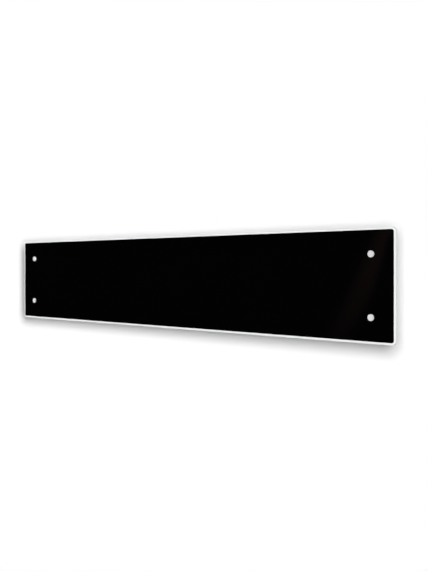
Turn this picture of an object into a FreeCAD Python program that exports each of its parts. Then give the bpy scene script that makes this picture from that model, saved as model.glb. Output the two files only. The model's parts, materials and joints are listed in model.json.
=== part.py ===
import FreeCAD, Part
import math
import os

# Wall-hung glass panel heater, in millimetres.
# The wall is the plane y = 0 and the room is towards -y. x runs to the right as seen from the room, z is up.
# The origin is the centre of the four wall screws. A depth is a distance from the wall into the room.

# Front glass
glass_width = 1150.0
glass_height = 220.0
glass_thickness = 5.0
glass_corner_radius = 9.0
border_width = 5.0
border_fall = 0.8

# Depths that stack up from the wall
bracket_depth = 20.0
casing_depth = 54.0
air_gap = 12.0

# Clearances: a seated piece in its hole, a pivot in its bearing, and how far a cut runs past its wall
fit_gap = 0.1
pivot_gap = 0.2
overrun = 1.0

# Fixings at the four corners of the glass
cap_inset = 50.0
cap_diameter = 13.0
cap_proud = 2.0
cap_edge = 0.4
cap_land = 1.6
cap_dish = 0.25
bolt_diameter = 5.0
bolt_grip = 5.0
bush_wall = 1.9
bush_flange_diameter = 12.0
bush_flange = 0.4
gasket_thickness = 1.0
post_diameter = 12.0
rear_screw_grip = 4.0
rear_screw_head_diameter = 9.0
rear_screw_head = 3.0

# Steel casing behind the glass
casing_side_inset = 36.0
casing_edge_inset = 12.0
sheet = 0.8
bend_radius = 2.0
chamfer = 18.0
lip_height = 12.0
end_cap_sheet = 1.0
end_cap_flange = 6.0
cover_screw_count = 6
cover_screw_inset = 48.0
cover_screw_diameter = 3.0
cover_screw_head_diameter = 6.4
cover_screw_head = 2.0
cover_screw_tip = 2.5

# Air slots in the casing's top and bottom walls, and how far they and the panel stay from the wall's bends
slot_width = 5.0
wall_margin = 5.6
slot_pitch = 10.0
slot_margin = 30.0

# Control bay at the right-hand end, behind a partition
bay_length = 86.0
partition_gap = 0.4
partition_foot = 10.0
partition_foot_height = 90.0
grommet_diameter = 8.0
grommet_length = 3.0

# Heating element
element_drop = 35.0
element_stand = 8.6
rod_diameter = 8.4
hub_diameter = 14.0
fin_front_gap = 7.4
fin_thickness = 1.6
fin_angle = 45.0
fin_gap = 12.0
rod_overhang = 14.0
holder_margin_left = 55.0
holder_margin_right = 34.0
holder_sheet = 1.0
holder_foot = 13.0
holder_height = 34.0
holder_overhang = 15.0
ceramic_diameter = 14.0
ceramic_flange_diameter = 18.0
ceramic_flange = 3.0
ceramic_length = 6.0
pin_diameter = 3.0
tab_offset = 2.0
tab_length = 10.0
tab_width = 6.3
tab_thickness = 0.8

# Heat shield on the back wall
shield_sheet = 0.5
shield_stand = 4.0
shield_flange = 8.0
shield_top_gap = 50.0
shield_bottom_gap = 24.0
shield_bend = 1.0

# Thermal cutout on its bracket
cutout_margin = 150.0
cutout_seat = 5.0
cutout_bracket_width = 18.0
cutout_bracket_sheet = 1.0
cutout_bracket_foot = 14.0
cutout_diameter = 14.4
cutout_flange_diameter = 16.0
cutout_flange = 1.5
cutout_height = 7.5
blade_spread = 4.0
blade_height = 8.0

# Inner leads
wire_diameter = 2.2
wire_bend = 8.0
link_rise = 14.0
return_rise = 8.0
clip_count = 4
clip_size = 8.0
clip_top = 2.5

# Mains entry and earth in the bay
block_inset = 24.0
block_length = 24.0
block_width = 14.0
block_height = 14.0
block_groove = 2.0
block_wire_inset = 7.0
gland_inset = 22.0
gland_bore = 7.2
gland_thread_diameter = 12.0
gland_hex_flats = 15.0
gland_flange = 4.0
gland_dome_diameter = 12.5
gland_dome = 5.0
gland_thread_rise = 8.0
gland_nut_height = 4.0
earth_rise = 28.0
earth_ring_diameter = 8.0
earth_ring = 1.0
earth_head_diameter = 6.0
earth_head = 2.5

# Power board and what stands on it
board_margin = 8.0
board_thickness = 1.6
board_rise = 40.0
board_top_gap = 24.0
board_corner = 2.0
board_post_diameter = 6.0
board_post_length = 12.0
board_post_inset = 5.0
relay_inset = 14.0
relay_length = 29.0
relay_height = 13.0
relay_depth = 15.7
relay_drop = 10.0
transformer_inset = 3.0
transformer_length = 32.0
transformer_height = 30.0
transformer_depth = 26.0
transformer_rise = 12.0
component_corner = 1.0
capacitor_diameter = 10.0
capacitor_length = 20.0
capacitor_inset = 16.0
capacitor_rise = 58.0
radio_width = 18.0
radio_height = 25.5
radio_board = 0.8
radio_can = 2.4
radio_can_inset = 1.5
radio_can_height = 17.0
radio_inset = 7.0
radio_rise = 11.0

# Room sensor under the bay
sensor_inset = 10.0
sensor_length = 20.0
sensor_width = 12.0
sensor_height = 6.0
sensor_corner = 2.0
sensor_slot = 1.5
sensor_slot_count = 4

# Control panel on top of the bay
panel_inset = 44.0
panel_length = 66.0
panel_flange = 3.0
panel_corner = 4.0
panel_proud = 1.2
panel_thickness = 2.0
panel_wall = 1.6
panel_skirt = 12.0
panel_board = 1.6
display_end_gap = 2.4
display_button_gap = 8.0
display_width = 11.0
display_corner = 1.0
button_end_gap = 7.4
button_pitch = 11.5
button_diameter = 8.0
button_hole_gap = 0.25
button_proud = 0.9
button_edge = 0.4
button_collar_diameter = 10.0
button_collar = 1.2
button_collar_gap = 0.2
button_stem_diameter = 3.0
button_tip = 0.3
tact_size = 6.0
tact_height = 3.5
tact_recess = 1.3
tact_recess_gap = 0.3

# Mains rocker switch in the right-hand end
switch_rise = 20.0
switch_flange = 2.0
switch_flange_height = 21.0
switch_flange_width = 15.0
switch_body_height = 19.0
switch_body_width = 13.0
switch_body_length = 18.0
switch_corner = 0.8
switch_cavity_height = 17.0
switch_cavity_width = 10.6
switch_cavity_depth = 9.2
rocker_side_gap = 0.25
rocker_half_height = 7.8
rocker_seat = 3.2
rocker_tip = 3.4
rocker_dip = 2.2
rocker_foot = 1.2
rocker_foot_half = 6.5
rocker_keel = 3.0
rocker_pin_diameter = 2.8
rocker_pin_length = 0.8
rocker_rest_angle = 9.0

# Wall bracket
arm_end_inset = 315.0
arm_width = 40.0
arm_sheet = 1.5
arm_bend = 1.0
arm_flange_gap = 3.0
arm_top_gap = 14.0
arm_corner = 3.0
wall_screw_spacing = 60.0
wall_screw_hole = 5.5
rail_height = 30.0
rail_depth = 8.0

# Hinge of the heater on the bracket's hooks
pivot_depth = 10.0
pivot_rise = 6.0
pivot_pin_diameter = 6.0
pivot_pin_end = 2.0
hook_floor = 9.0
hook_lip = 4.0
hook_entry = 18.0
hook_slope = 9.0
lug_sheet = 1.5
lug_gap = 1.5
lug_ear_radius = 6.0
lug_foot_gap = 2.0
lug_height = 30.0
lug_reach = 5.0

# Spring catches that hold the heater's top
catch_width = 14.0
catch_sheet = 0.8
catch_bend = 0.6
catch_drop = 32.0
catch_foot = 26.0
catch_past_wall = 1.2
catch_barb = 8.0
catch_nose = 5.0
window_width = 18.0
window_below = 2.0
window_above = 4.0
rivet_diameter = 3.0
rivet_head_diameter = 6.0
rivet_head = 1.0
rivet_sink = 0.1
rivet_places_share = (0.25, 0.6)

# Bumpers between the casing and the bracket
bumper_diameter = 8.0
bumper_drop = 44.0
bumper_gap = 0.3

# Planes and lengths that follow from the values above
casing_back = bracket_depth
casing_front = casing_back + casing_depth
glass_back = casing_front + air_gap
glass_front = glass_back + glass_thickness
lip_front = casing_front - sheet
lip_back = lip_front - sheet
inside_back = casing_back + sheet
chamfer_front = casing_back + chamfer
casing_half = glass_width / 2 - casing_side_inset
casing_top = glass_height / 2 - casing_edge_inset
casing_bottom = -casing_top
inside_bottom = casing_bottom + sheet
end_inside = casing_half - end_cap_sheet
outer_bend = bend_radius + sheet
partition_x = end_inside - bay_length
wall_middle = (lip_front + chamfer_front) / 2
slot_length = lip_front - chamfer_front - 2 * wall_margin
bolt_radius = bolt_diameter / 2
bolt_hole_radius = bolt_radius + fit_gap
bush_radius = bolt_hole_radius + bush_wall
glass_hole_radius = bush_radius + fit_gap
wire_radius = wire_diameter / 2

element_depth = chamfer_front + element_stand
element_z = -element_drop
holder_left = -(end_inside - holder_margin_left)
holder_right = partition_x - holder_margin_right
fins_span = (holder_left + fin_gap, holder_right - fin_gap)
fin_reach = (lip_back - element_depth - fin_front_gap) / math.cos(math.radians(fin_angle))
shield_front = inside_back + shield_stand + shield_sheet
cutout_x = partition_x - cutout_margin
cutout_depth = element_depth - blade_spread
blade_top = cutout_seat + cutout_flange + cutout_height + blade_height

panel_x = end_inside - panel_inset
panel_width = slot_length
panel_inside = panel_length / 2 - panel_wall
panel_top = casing_top + panel_proud
panel_under = panel_top - panel_thickness
skirt_bottom = casing_top - panel_skirt
button_last = panel_x + panel_inside - button_end_gap
button_xs = [button_last - i * button_pitch for i in (2, 1, 0)]
display_span = (panel_x - panel_inside + display_end_gap, button_xs[0] - display_button_gap)

board_front = inside_back + board_post_length + board_thickness
board_left = partition_x + board_margin
board_right = end_inside - board_margin
board_bottom = casing_bottom + board_rise
board_top = skirt_bottom - board_top_gap
board_height = board_top - board_bottom
relay_z = board_top - relay_drop
transformer_bottom = board_bottom + transformer_rise
feed_depth = cutout_depth - blade_spread
return_z = inside_bottom + return_rise
block_left = partition_x + block_inset
block_top = inside_bottom + block_height
gland_x = end_inside - gland_inset

rocker_x = casing_half + switch_flange - rocker_seat

arm_spacing = glass_width - 2 * arm_end_inset
arm_xs = (-arm_spacing / 2, arm_spacing / 2)
arm_front = bracket_depth - arm_flange_gap
arm_top = casing_top - arm_top_gap
pivot_z = casing_bottom + pivot_rise
pivot_pin_radius = pivot_pin_diameter / 2
hook_radius = pivot_pin_radius + pivot_gap
lug_half = arm_width / 2 + lug_gap + lug_sheet
catch_z = casing_top - catch_drop
bumper_z = arm_top - bumper_drop


# Views: each takes a flat outline's two coordinates and the distance along the view

def side(depth, z, x):
    return FreeCAD.Vector(x, -depth, z)


def front(x, z, depth):
    return FreeCAD.Vector(x, -depth, z)


def plan(x, depth, z):
    return FreeCAD.Vector(x, -depth, z)


# Shared shapes

def box(x_span, depth_span, z_span):
    low = front(min(x_span), min(z_span), max(depth_span))
    high = front(max(x_span), max(z_span), min(depth_span))
    size = high - low
    return Part.makeBox(size.x, size.y, size.z, low)


def around(middle, size):
    return (middle - size / 2, middle + size / 2)


def rod(radius, start, end):
    run = end - start
    return Part.makeCylinder(radius, run.Length, start, run)


def ring(outer_radius, inner_radius, start, end):
    return rod(outer_radius, start, end).cut(rod(inner_radius, start, end))


def rectangle(width, height, centre=(0, 0)):
    left, right = around(centre[0], width)
    low, high = around(centre[1], height)
    return [(left, low), (right, low), (right, high), (left, high)]


def hexagon(flats, centre):
    reach = flats / math.sqrt(3)
    corners = [math.radians(60 * i) for i in range(6)]
    return [(centre[0] + reach * math.cos(a), centre[1] + reach * math.sin(a)) for a in corners]


def rounded_edges(points, radii, closed):
    """Straight runs between points, with an arc of its own radius at each corner."""
    count = len(points)
    arc_starts = list(points)
    arc_ends = list(points)
    arcs = {}
    corners = range(count) if closed else range(1, count - 1)
    for i in corners:
        if radii[i] <= 0:
            continue
        arriving = (points[i] - points[i - 1]).normalize()
        leaving = (points[(i + 1) % count] - points[i]).normalize()
        half_turn = arriving.getAngle(leaving) / 2
        arc_starts[i] = points[i] - arriving * (radii[i] * math.tan(half_turn))
        arc_ends[i] = points[i] + leaving * (radii[i] * math.tan(half_turn))
        inward = (leaving - arriving).normalize()
        middle = points[i] + inward * (radii[i] / math.cos(half_turn) - radii[i])
        arcs[i] = Part.Arc(arc_starts[i], middle, arc_ends[i]).toShape()
    edges = []
    for i in range(count if closed else count - 1):
        after = (i + 1) % count
        if not arc_ends[i].isEqual(arc_starts[after], fit_gap / count):
            edges.append(Part.LineSegment(arc_ends[i], arc_starts[after]).toShape())
        if after in arcs:
            edges.append(arcs[after])
    return edges


def outline(view, points, radius, distance):
    corners = [view(u, v, distance) for u, v in points]
    return Part.Wire(rounded_edges(corners, [max(radius, 0)] * len(points), True))


def prism(view, points, radius, span):
    """A flat outline with rounded corners, pushed along the view from one distance to another."""
    face = Part.Face(outline(view, points, radius, span[0]))
    return face.extrude(view(0, 0, span[1]) - view(0, 0, span[0]))


def shifted(points, distance, closed=False):
    """An outline moved to its own left by a distance."""
    count = len(points)
    moved = []
    for i in range(count):
        normals = []
        for a, b in ((i - 1, i), (i, i + 1)):
            if closed or (a >= 0 and b < count):
                run_u = points[b % count][0] - points[a % count][0]
                run_v = points[b % count][1] - points[a % count][1]
                length = math.hypot(run_u, run_v)
                normals.append((-run_v / length, run_u / length))
        total_u = normals[0][0] + normals[-1][0]
        total_v = normals[0][1] + normals[-1][1]
        scale = 2 * distance / (total_u ** 2 + total_v ** 2)
        moved.append((points[i][0] + total_u * scale, points[i][1] + total_v * scale))
    return moved


def folded_sheet(view, points, thickness, inner_radius, span):
    """A sheet folded along a line of points through its middle."""
    turns = [0.0] * len(points)
    for i in range(1, len(points) - 1):
        before_u, before_v = points[i][0] - points[i - 1][0], points[i][1] - points[i - 1][1]
        after_u, after_v = points[i + 1][0] - points[i][0], points[i + 1][1] - points[i][1]
        turns[i] = math.copysign(1, before_u * after_v - before_v * after_u)
    edges = []
    ends = []
    for hand in (1, -1):
        flat = shifted(points, hand * thickness / 2)
        radii = [inner_radius + (thickness if hand * turn < 0 else 0) for turn in turns]
        corners = [view(u, v, span[0]) for u, v in flat]
        edges += rounded_edges(corners, radii, False)
        ends.append((corners[0], corners[-1]))
    for near, far in zip(*ends):
        edges.append(Part.LineSegment(near, far).toShape())
    face = Part.Face(Part.Wire(Part.__sortEdges__(edges)))
    return face.extrude(view(0, 0, span[1]) - view(0, 0, span[0]))


def turned(profile, base, axis, across):
    """A lathe shape: each profile point is a radius and a distance along the axis from the base."""
    points = [base + across * radius + axis * distance for radius, distance in profile]
    face = Part.Face(Part.makePolygon(points + points[:1]))
    return face.revolve(base, axis, 360)


def lead(points):
    """An insulated lead along straight runs with equal bends."""
    path = Part.Wire(rounded_edges(points, [wire_bend] * len(points), False))
    section = Part.Wire(Part.makeCircle(wire_radius, points[0], points[1] - points[0]))
    return path.makePipeShell([section], True, False)


def group(solids):
    return Part.makeCompound(solids)


def merged(solids):
    return solids[0].multiFuse(solids[1:]).removeSplitter()


X = FreeCAD.Vector(1, 0, 0)
ROOM = FreeCAD.Vector(0, -1, 0)
UP = FreeCAD.Vector(0, 0, 1)


# Glass and its fixings

def corner_places():
    x = glass_width / 2 - cap_inset
    z = glass_height / 2 - cap_inset
    return [(side_x * x, side_z * z) for side_x in (-1, 1) for side_z in (-1, 1)]


def at_corners(make):
    return group([make(x, z) for x, z in corner_places()])


def front_glass():
    rim = rectangle(glass_width, glass_height)
    shoulder = glass_front - border_fall
    slab = prism(front, rim, glass_corner_radius, (glass_back, shoulder))
    face = rectangle(glass_width - 2 * border_width, glass_height - 2 * border_width)
    edge = outline(front, rim, glass_corner_radius, shoulder)
    crown = outline(front, face, glass_corner_radius - border_width, glass_front)
    glass = merged([slab, Part.makeLoft([edge, crown], True, True)])
    holes = [rod(glass_hole_radius, front(x, z, glass_back - overrun), front(x, z, glass_front + overrun))
             for x, z in corner_places()]
    return glass.cut(group(holes))


def cap_bolt(x, z):
    seat = glass_front + bush_flange
    top = glass_front + cap_proud
    radius = cap_diameter / 2
    tip = glass_back - gasket_thickness - bolt_grip
    profile = [(0, tip), (bolt_radius, tip), (bolt_radius, seat), (radius, seat), (radius, top - cap_edge),
               (radius - cap_edge, top),
               (radius - cap_land, top), (0, top - cap_dish)]
    return turned(profile, front(x, z, 0), ROOM, X)


def glass_bush(x, z):
    profile = [(bolt_hole_radius, glass_back), (bush_radius, glass_back), (bush_radius, glass_front),
               (bush_flange_diameter / 2, glass_front), (bush_flange_diameter / 2, glass_front + bush_flange),
               (bolt_hole_radius, glass_front + bush_flange)]
    return turned(profile, front(x, z, 0), ROOM, X)


def glass_gasket(x, z):
    start = front(x, z, glass_back - gasket_thickness)
    return ring(post_diameter / 2, bolt_hole_radius, start, front(x, z, glass_back))


def standoff_post(x, z):
    end = front(x, z, glass_back - gasket_thickness)
    return ring(post_diameter / 2, bolt_hole_radius, front(x, z, casing_front), end)


def standoff_screw(x, z):
    head = rod(rear_screw_head_diameter / 2, front(x, z, lip_front - rear_screw_head), front(x, z, lip_front))
    shank = rod(bolt_radius, front(x, z, lip_front), front(x, z, casing_front + rear_screw_grip))
    return merged([head, shank])


# Casing

def casing_side():
    """The casing seen from its end, without the front cover."""
    return [(lip_front, casing_top), (chamfer_front, casing_top), (casing_back, casing_top - chamfer),
            (casing_back, casing_bottom + chamfer), (chamfer_front, casing_bottom),
            (lip_front, casing_bottom)]


def cover_screw_places():
    reach = casing_half - cover_screw_inset
    step = 2 * reach / (cover_screw_count - 1)
    height = casing_top - lip_height / 2
    return [(-reach + i * step, z) for i in range(cover_screw_count) for z in (-height, height)]


def cover_screw(x, z):
    seat = front(x, z, casing_front)
    head = rod(cover_screw_head_diameter / 2, seat, seat + ROOM * cover_screw_head)
    shank = rod(cover_screw_diameter / 2, front(x, z, lip_back - cover_screw_tip), seat)
    return merged([head, shank])


def cover_screw_holes():
    radius = cover_screw_diameter / 2 + fit_gap
    return [rod(radius, front(x, z, lip_back - overrun), front(x, z, casing_front + overrun))
            for x, z in cover_screw_places()]


def front_cover():
    shape = rectangle(2 * casing_half, casing_top - casing_bottom)
    panel = prism(front, shape, outer_bend, (lip_front, casing_front))
    bolts = [rod(bolt_hole_radius, front(x, z, lip_front - overrun), front(x, z, casing_front + overrun))
             for x, z in corner_places()]
    return panel.cut(group(bolts + cover_screw_holes()))


def air_slots(wall_z):
    start = -end_inside + slot_margin
    end = partition_x - slot_margin
    count = int((end - start) / slot_pitch) + 1
    first = (start + end - (count - 1) * slot_pitch) / 2
    span = (wall_z - sheet - overrun, wall_z + sheet + overrun)
    places = [(first + i * slot_pitch, wall_middle) for i in range(count)]
    return [prism(plan, rectangle(slot_width, slot_length, place), slot_width / 2, span) for place in places]


def rear_casing():
    lips = [(lip_front, casing_top - lip_height), (lip_front, casing_bottom + lip_height)]
    outside = lips[:1] + casing_side() + lips[1:]
    shell = folded_sheet(side, shifted(outside, sheet / 2), sheet, bend_radius, (-end_inside, end_inside))
    cuts = air_slots(casing_top) + air_slots(casing_bottom) + cover_screw_holes()
    cuts.append(prism(plan, rectangle(panel_length, panel_width, (panel_x, wall_middle)), panel_corner,
                      (casing_top - sheet - overrun, casing_top + overrun)))
    cuts.append(rod(gland_thread_diameter / 2 + fit_gap, plan(gland_x, wall_middle, casing_bottom - overrun),
                    plan(gland_x, wall_middle, inside_bottom + overrun)))
    for x in arm_xs:
        cuts.append(box(around(x, window_width), (casing_back - overrun, inside_back + overrun),
                        (catch_z - window_below, catch_z + window_above)))
    return shell.cut(group(cuts))


def end_cap(hand):
    rim = casing_side()
    gap = sheet + fit_gap
    plate = prism(side, rim, outer_bend, (hand * end_inside, hand * casing_half))
    reach = (hand * (end_inside - end_cap_flange), hand * end_inside)
    outer = prism(side, shifted(rim, gap, True), outer_bend - gap, reach)
    inner = prism(side, shifted(rim, gap + end_cap_sheet, True), outer_bend - gap - end_cap_sheet, reach)
    return merged([plate, outer.cut(inner)])


def end_cap_left():
    return end_cap(-1)


def end_cap_right():
    height = switch_body_height + 2 * fit_gap
    width = switch_body_width + 2 * fit_gap
    window = rectangle(width, height, (element_depth, switch_rise))
    return end_cap(1).cut(prism(side, window, switch_corner, (end_inside - overrun, casing_half + overrun)))


def grommet_places():
    return [(feed_depth, relay_z), (element_depth, return_z)]


def partition_plate():
    gap = sheet + partition_gap
    span = (partition_x, partition_x + sheet)
    plate = prism(side, shifted(casing_side(), gap, True), outer_bend - gap, span)
    foot = box((partition_x, partition_x + partition_foot), (inside_back, inside_back + sheet),
               around(0, partition_foot_height))
    holes = [rod(grommet_diameter / 2 + fit_gap, side(depth, z, partition_x - overrun),
                 side(depth, z, partition_x + sheet + overrun)) for depth, z in grommet_places()]
    return merged([plate, foot]).cut(group(holes))


def partition_grommets():
    left, right = around(partition_x + sheet / 2, grommet_length)
    radii = (grommet_diameter / 2, wire_radius + fit_gap)
    return group([ring(*radii, side(depth, z, left), side(depth, z, right)) for depth, z in grommet_places()])


# Heating element

def on_element(x):
    return side(element_depth, element_z, x)


def element_fins():
    bars = []
    for hand in (1, -1):
        angle = math.radians(hand * fin_angle)
        along = (math.cos(angle) * fin_reach, math.sin(angle) * fin_reach)
        across = (-math.sin(angle) * fin_thickness / 2, math.cos(angle) * fin_thickness / 2)
        corners = [(1, 1), (-1, 1), (-1, -1), (1, -1)]
        points = [(element_depth + a * along[0] + b * across[0], element_z + a * along[1] + b * across[1])
                  for a, b in corners]
        bars.append(prism(side, points, 0, fins_span))
    hub = rod(hub_diameter / 2, on_element(fins_span[0]), on_element(fins_span[1]))
    bore = rod(rod_diameter / 2 + fit_gap, on_element(fins_span[0]), on_element(fins_span[1]))
    return merged([hub] + bars).cut(bore)


def rod_ends():
    return ((holder_left - rod_overhang, -1), (holder_right + rod_overhang, 1))


def element_rod():
    return rod(rod_diameter / 2, *[on_element(x) for x, hand in rod_ends()])


def element_terminals():
    terminals = []
    for x, hand in rod_ends():
        pin = rod(pin_diameter / 2, on_element(x), on_element(x + hand * (tab_offset + tab_length / 2)))
        tab_span = (x + hand * tab_offset, x + hand * (tab_offset + tab_length))
        tab = box(tab_span, around(element_depth, tab_thickness), around(element_z, tab_width))
        terminals.append(merged([pin, tab]))
    return group(terminals)


def tab_middle(x, hand):
    return x + hand * (tab_offset + tab_length / 2)


def element_holder(x, hand):
    height = around(element_z, holder_height)
    plate = box((x, x + hand * holder_sheet), (inside_back, element_depth + holder_overhang), height)
    foot = box((x, x + hand * holder_foot), (inside_back, inside_back + holder_sheet), height)
    hole = rod(ceramic_diameter / 2 + fit_gap, on_element(x - hand * overrun),
               on_element(x + hand * (holder_sheet + overrun)))
    return merged([plate, foot]).cut(hole)


def element_holder_left():
    return element_holder(holder_left, -1)


def element_holder_right():
    return element_holder(holder_right, 1)


def ceramic_bushes():
    bore = rod_diameter / 2 + fit_gap
    profile = [(bore, -ceramic_flange), (ceramic_flange_diameter / 2, -ceramic_flange),
               (ceramic_flange_diameter / 2, 0), (ceramic_diameter / 2, 0),
               (ceramic_diameter / 2, ceramic_length), (bore, ceramic_length)]
    ends = ((holder_left, -1), (holder_right, 1))
    return group([turned(profile, on_element(x), X * hand, UP) for x, hand in ends])


def heat_shield():
    top = casing_top - shield_top_gap
    bottom = casing_bottom + shield_bottom_gap
    rest = inside_back + shield_sheet / 2
    raised = rest + shield_stand
    fold = shield_flange + shield_stand
    points = [(rest, top), (rest, top - shield_flange), (raised, top - fold),
              (raised, bottom + fold), (rest, bottom + shield_flange), (rest, bottom)]
    return folded_sheet(side, points, shield_sheet, shield_bend, fins_span)


def cutout_bracket():
    width = around(cutout_x, cutout_bracket_width)
    end = cutout_depth + cutout_bracket_width / 2
    foot = box(width, (shield_front, shield_front + cutout_bracket_sheet),
               (cutout_seat - cutout_bracket_foot, cutout_seat))
    arm = box(width, (shield_front, end), (cutout_seat - cutout_bracket_sheet, cutout_seat))
    return merged([foot, arm])


def thermal_cutout():
    levels = [cutout_seat, cutout_seat + cutout_flange, cutout_seat + cutout_flange + cutout_height]
    base, shoulder, top = [plan(cutout_x, cutout_depth, z) for z in levels]
    body = [rod(cutout_flange_diameter / 2, base, shoulder), rod(cutout_diameter / 2, shoulder, top)]
    width = around(cutout_x, tab_width)
    for depth in (cutout_depth - blade_spread, cutout_depth + blade_spread):
        body.append(box(width, around(depth, tab_thickness), (levels[-1], blade_top)))
    return merged(body)


# Inner leads

def wire_feed():
    return lead([plan(cutout_x, feed_depth, blade_top), plan(cutout_x, feed_depth, relay_z),
                 plan(board_left + relay_inset, feed_depth, relay_z)])


def wire_link():
    x = tab_middle(*rod_ends()[1])
    height = blade_top + link_rise
    return lead([plan(cutout_x, element_depth, blade_top), plan(cutout_x, element_depth, height),
                 plan(x, element_depth, height), plan(x, element_depth, element_z + tab_width / 2)])


def wire_return():
    start = tab_middle(*rod_ends()[0])
    end = board_left + transformer_inset + wire_bend
    return lead([plan(start, element_depth, element_z - tab_width / 2), plan(start, element_depth, return_z),
                 plan(end, element_depth, return_z), plan(end, element_depth, transformer_bottom)])


def wire_mains():
    x = block_left + block_wire_inset
    return rod(wire_radius, plan(x, element_depth, block_top), plan(x, element_depth, transformer_bottom))


def wire_earth():
    x = block_left + block_length - block_wire_inset
    z = casing_bottom + earth_rise
    return lead([plan(x, element_depth, block_top), plan(x, element_depth, z),
                 plan(x, inside_back + earth_ring + earth_head, z)])


def wire_clips():
    start, end = fins_span
    step = (end - start) / clip_count
    clips = []
    for i in range(clip_count):
        x = start + (i + 1 / 2) * step
        height = (inside_bottom, return_z + clip_top)
        block = box(around(x, clip_size), around(element_depth, clip_size), height)
        ends = [side(element_depth, return_z, x + reach) for reach in (-clip_size, clip_size)]
        clips.append(block.cut(rod(wire_radius + fit_gap, *ends)))
    return group(clips)


def earth_screw():
    x = block_left + block_length - block_wire_inset
    z = casing_bottom + earth_rise
    ring_top = inside_back + earth_ring
    washer = rod(earth_ring_diameter / 2, front(x, z, inside_back), front(x, z, ring_top))
    head = rod(earth_head_diameter / 2, front(x, z, ring_top), front(x, z, ring_top + earth_head))
    return merged([washer, head])


# Mains entry

def terminal_block():
    x_span = (block_left, block_left + block_length)
    body = box(x_span, around(element_depth, block_width), (inside_bottom, block_top))
    groove = box(around(block_left + block_length / 2, block_groove),
                 around(element_depth, block_width + overrun),
                 (block_top - block_groove, block_top + overrun))
    return body.cut(groove)


def cable_gland():
    base = plan(gland_x, wall_middle, casing_bottom)
    dome_top = base - UP * gland_flange
    nut_face = prism(plan, hexagon(gland_hex_flats, (gland_x, wall_middle)), 0, (dome_top.z, casing_bottom))
    dome_end = dome_top - UP * gland_dome
    dome = rod(gland_dome_diameter / 2, dome_end, dome_top)
    thread_top = plan(gland_x, wall_middle, inside_bottom + gland_thread_rise)
    thread = rod(gland_thread_diameter / 2, base, thread_top)
    return merged([nut_face, dome, thread]).cut(rod(gland_bore / 2, dome_end, thread_top))


def gland_nut():
    span = (inside_bottom, inside_bottom + gland_nut_height)
    nut = prism(plan, hexagon(gland_hex_flats, (gland_x, wall_middle)), 0, span)
    ends = [plan(gland_x, wall_middle, z) for z in span]
    return nut.cut(rod(gland_thread_diameter / 2 + fit_gap, *ends))


# Power board

def board_corners():
    xs = (board_left + board_post_inset, board_right - board_post_inset)
    zs = (board_bottom + board_post_inset, board_top - board_post_inset)
    return [(x, z) for x in xs for z in zs]


def power_board():
    middle = ((board_left + board_right) / 2, (board_bottom + board_top) / 2)
    return prism(front, rectangle(board_right - board_left, board_height, middle), board_corner,
                 (board_front - board_thickness, board_front))


def board_posts():
    radius = board_post_diameter / 2
    back = board_front - board_thickness
    return group([rod(radius, front(x, z, inside_back), front(x, z, back)) for x, z in board_corners()])


def relay():
    x = board_left + relay_inset + relay_length / 2
    return prism(front, rectangle(relay_length, relay_height, (x, relay_z)), component_corner,
                 (board_front, board_front + relay_depth))


def transformer():
    x = board_left + transformer_inset + transformer_length / 2
    z = transformer_bottom + transformer_height / 2
    return prism(front, rectangle(transformer_length, transformer_height, (x, z)), component_corner,
                 (board_front, board_front + transformer_depth))


def capacitor():
    x = board_right - capacitor_inset
    z = board_bottom + capacitor_rise
    return rod(capacitor_diameter / 2, front(x, z, board_front), front(x, z, board_front + capacitor_length))


def radio_module():
    x = board_right - radio_inset - radio_width / 2
    z = board_bottom + radio_rise + radio_height / 2
    top = board_front + radio_board
    card = prism(front, rectangle(radio_width, radio_height, (x, z)), 0, (board_front, top))
    can_z = z - radio_height / 2 + radio_can_inset + radio_can_height / 2
    can = rectangle(radio_width - 2 * radio_can_inset, radio_can_height, (x, can_z))
    return merged([card, prism(front, can, component_corner, (top, top + radio_can))])


def room_sensor():
    x = partition_x + sensor_inset + sensor_length / 2
    low = casing_bottom - sensor_height
    shape = rectangle(sensor_length, sensor_width, (x, wall_middle))
    body = prism(plan, shape, sensor_corner, (low, casing_bottom))
    step = sensor_length / (sensor_slot_count + 1)
    slot_xs = [x - sensor_length / 2 + (i + 1) * step for i in range(sensor_slot_count)]
    across = around(wall_middle, sensor_width / 2)
    height = (low - overrun, low + sensor_slot)
    slots = [box(around(slot_x, sensor_slot), across, height) for slot_x in slot_xs]
    return body.cut(group(slots))


# Control panel

def button_places():
    return [(x, wall_middle) for x in button_xs]


def control_bezel():
    centre = (panel_x, wall_middle)
    length = panel_length - 2 * fit_gap
    width = panel_width - 2 * fit_gap
    flange = rectangle(panel_length + 2 * panel_flange, panel_width + 2 * panel_flange, centre)
    plate = prism(plan, flange, panel_corner + panel_flange, (casing_top, panel_top))
    skirt = prism(plan, rectangle(length, width, centre), panel_corner, (skirt_bottom, casing_top))
    hollow = prism(plan, rectangle(length - 2 * panel_wall, width - 2 * panel_wall, centre),
                   panel_corner - panel_wall, (skirt_bottom, panel_under))
    cuts = [hollow, display_block(fit_gap, (panel_under, panel_top + overrun))]
    hole_radius = button_diameter / 2 + button_hole_gap
    for x, depth in button_places():
        cuts.append(rod(hole_radius, plan(x, depth, panel_under), plan(x, depth, panel_top + overrun)))
    return merged([plate, skirt]).cut(group(cuts))


def display_block(gap, span):
    left, right = display_span
    shape = rectangle(right - left + 2 * gap, display_width + 2 * gap, ((left + right) / 2, wall_middle))
    return prism(plan, shape, display_corner, span)


def display_lens():
    return display_block(0, (panel_under, panel_top))


def display_module():
    return display_block(0, (skirt_bottom, panel_under))


def button_board():
    shape = rectangle(panel_length - 2 * fit_gap, panel_width - 2 * fit_gap, (panel_x, wall_middle))
    return prism(plan, shape, panel_corner, (skirt_bottom - panel_board, skirt_bottom))


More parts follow.
